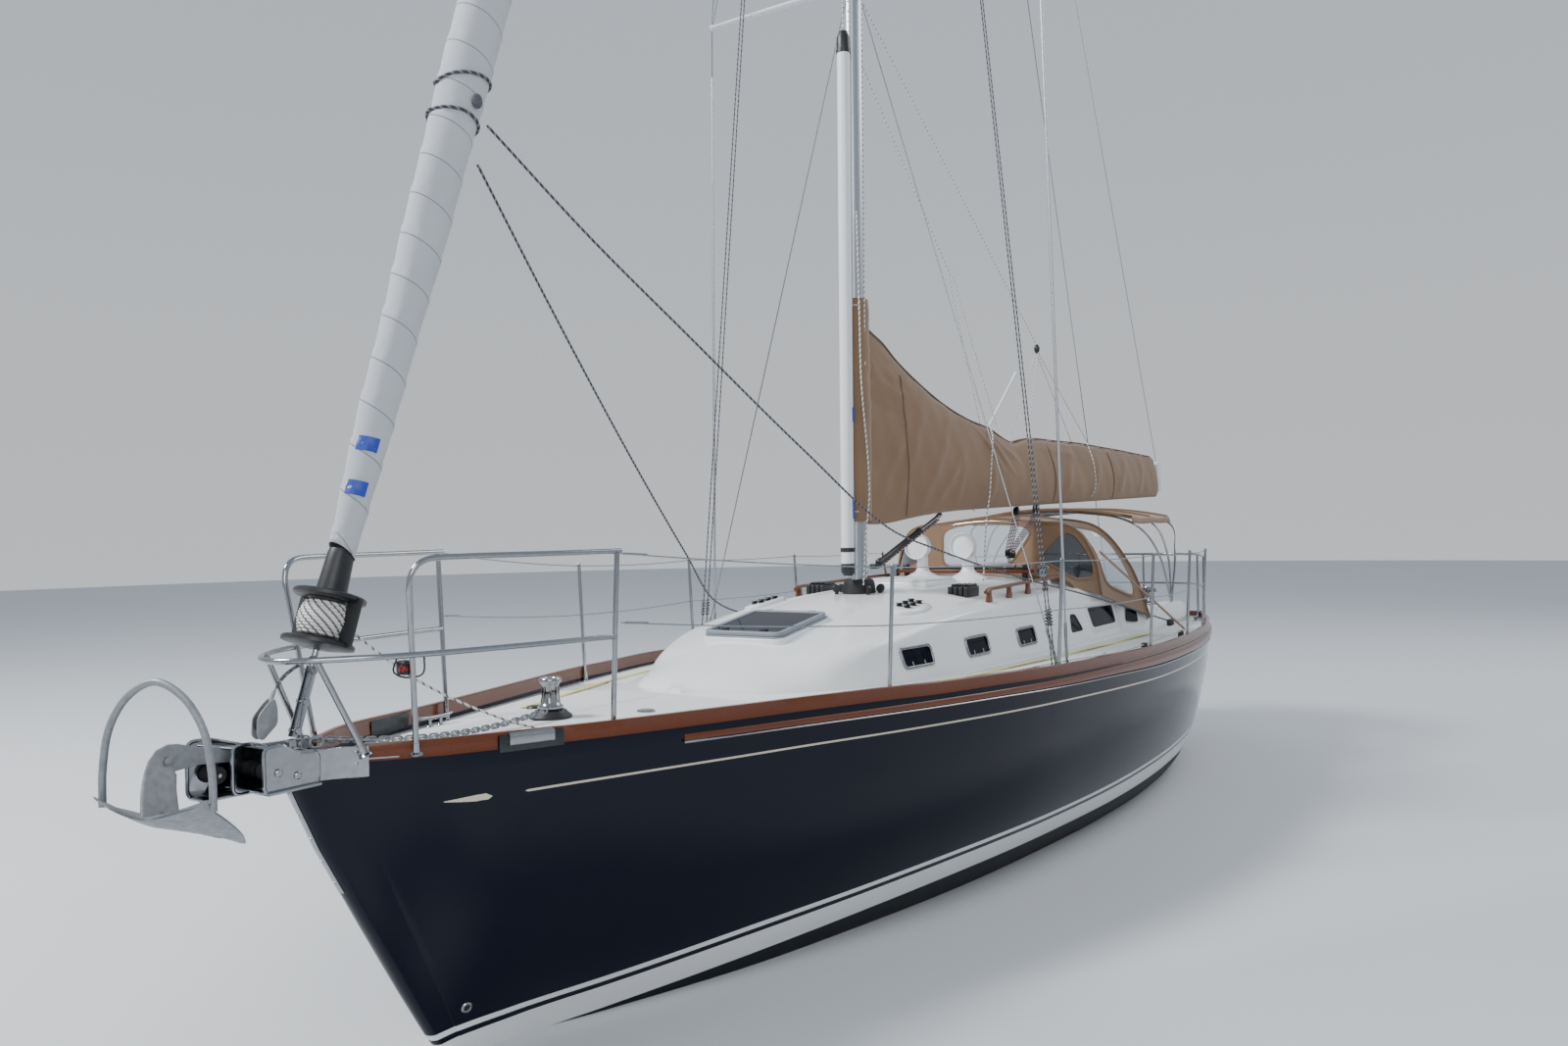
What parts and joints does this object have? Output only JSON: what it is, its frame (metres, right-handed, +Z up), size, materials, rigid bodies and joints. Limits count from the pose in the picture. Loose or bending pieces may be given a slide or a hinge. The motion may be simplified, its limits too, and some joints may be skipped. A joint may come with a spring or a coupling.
{
  "type": "sailing yacht",
  "caption": "Cruising sailing yacht with navy hull, teak toe rail, white coachroof, stowed mainsail under a tan cover, furled genoa, dodger, bimini, fin keel and spade rudder.",
  "frame": {"origin": "amidships on the waterline, on the centreline", "axes": "+X towards the bow, +Y to port, +Z up"},
  "size_m": [11.6383, 3.3936, 18.3],
  "materials": {
    "hull_paint": "gloss",
    "teak": "varnished",
    "gelcoat": "satin",
    "hatch_alloy": "satin",
    "smoked_lens": "gloss",
    "keel_iron": "painted",
    "bronze": "satin",
    "spar_alloy": "anodised",
    "black_fittings": "matte",
    "stainless": "polished",
    "sail_cloth": "woven",
    "galvanised": "dull",
    "tan_canvas": "woven"
  },
  "bodies": {
    "boat": {"hull": "hull_paint", "toe_rail": "teak", "coachroof": "gelcoat", "hatch_frame": "hatch_alloy", "keel": "keel_iron", "shaft_and_strut": "bronze", "engine": "keel_iron", "mast": "spar_alloy", "mast_collar": "black_fittings", "shrouds_port": "stainless", "shrouds_starboard": "stainless", "backstay": "stainless", "bow_fitting": "stainless", "forestay": "stainless", "furler_drum": "black_fittings", "furled_genoa": "sail_cloth", "anchor": "galvanised", "windlass_base": "black_fittings", "pulpit": "stainless", "pushpit": "stainless", "lifelines_port": "stainless", "lifelines_starboard": "stainless", "cover_collar": "tan_canvas", "whisker_pole": "spar_alloy", "traveller": "black_fittings", "cowl_vent_port": "gelcoat", "cowl_vent_starboard": "gelcoat", "handrail_port": "teak", "handrail_starboard": "teak", "dodger": "tan_canvas", "bimini": "tan_canvas", "bimini_frame": "stainless", "binnacle": "gelcoat"},
    "boom_body": {"boom": "spar_alloy", "sail_cover": "tan_canvas", "vang": "black_fittings"},
    "foredeck_hatch": {"hatch_lid": "smoked_lens"},
    "slide_hatch": {"companion_slide": "gelcoat"},
    "board": {"washboard": "teak"},
    "rudder_body": {"rudder": "hull_paint"},
    "propeller_body": {"propeller": "bronze"},
    "capstan": {"windlass_capstan": "stainless"},
    "helm": {"steering_wheel": "stainless"},
    "winch_a": {"primary_winch_port": "stainless"},
    "winch_b": {"primary_winch_starboard": "stainless"},
    "winch_c": {"halyard_winch_port": "stainless"},
    "winch_d": {"halyard_winch_starboard": "stainless"},
    "locker_port": {"locker_lid_port": "gelcoat"},
    "locker_starboard": {"locker_lid_starboard": "gelcoat"}
  },
  "joints": [
    {"name": "boom_swing", "type": "hinge", "parent": "boat", "child": "boom_body", "pos_m": [0.52, 0, 2.57], "axis": [0, 0, 1], "range_deg": [-49, 70]},
    {"name": "hatch_hinge", "type": "hinge", "parent": "boat", "child": "foredeck_hatch", "pos_m": [1.62707, 0, 1.82661], "axis": [0, -1, 0], "range_deg": [0, 85]},
    {"name": "slide_run", "type": "slide", "parent": "boat", "child": "slide_hatch", "axis": [1, 0, 0], "range_m": [0, 0.4]},
    {"name": "board_lift", "type": "slide", "parent": "boat", "child": "board", "axis": [0, 0, 1], "range_m": [0, 0.45]},
    {"name": "rudder_turn", "type": "hinge", "parent": "boat", "child": "rudder_body", "pos_m": [-4.25, 0, -0.38], "axis": [0, 0, 1], "range_deg": [-35, 35]},
    {"name": "propeller_spin", "type": "hinge", "parent": "boat", "child": "propeller_body", "pos_m": [-3.45, 0, -0.52], "axis": [0.9507, 0, 0.3102], "continuous": true},
    {"name": "capstan_turn", "type": "hinge", "parent": "boat", "child": "capstan", "pos_m": [3.95, 0, 1.57], "axis": [0, 0, 1], "continuous": true},
    {"name": "wheel_turn", "type": "hinge", "parent": "boat", "child": "helm", "pos_m": [-3.9904, 0, 1.43], "axis": [1, 0, 0], "range_deg": [-269.5, 269.5]},
    {"name": "winch_a_turn", "type": "hinge", "parent": "boat", "child": "winch_a", "pos_m": [-3.1, 1.065, 1.67], "axis": [0, 0, 1], "continuous": true},
    {"name": "winch_b_turn", "type": "hinge", "parent": "boat", "child": "winch_b", "pos_m": [-3.1, -1.065, 1.67], "axis": [0, 0, 1], "continuous": true},
    {"name": "winch_c_turn", "type": "hinge", "parent": "boat", "child": "winch_c", "pos_m": [-1.25, 0.7, 1.97], "axis": [0, 0, 1], "continuous": true},
    {"name": "winch_d_turn", "type": "hinge", "parent": "boat", "child": "winch_d", "pos_m": [-1.25, -0.7, 1.97], "axis": [0, 0, 1], "continuous": true},
    {"name": "locker_port_hinge", "type": "hinge", "parent": "boat", "child": "locker_port", "pos_m": [-3.3, 0.862, 1.1204], "axis": [-1, 0, 0], "range_deg": [0, 75]},
    {"name": "locker_starboard_hinge", "type": "hinge", "parent": "boat", "child": "locker_starboard", "pos_m": [-3.3, -0.862, 1.1204], "axis": [1, 0, 0], "range_deg": [0, 75]}
  ],
  "couplings": [
    {"joint": "wheel_turn", "follows": "rudder_turn", "ratio": 7.7}
  ]
}
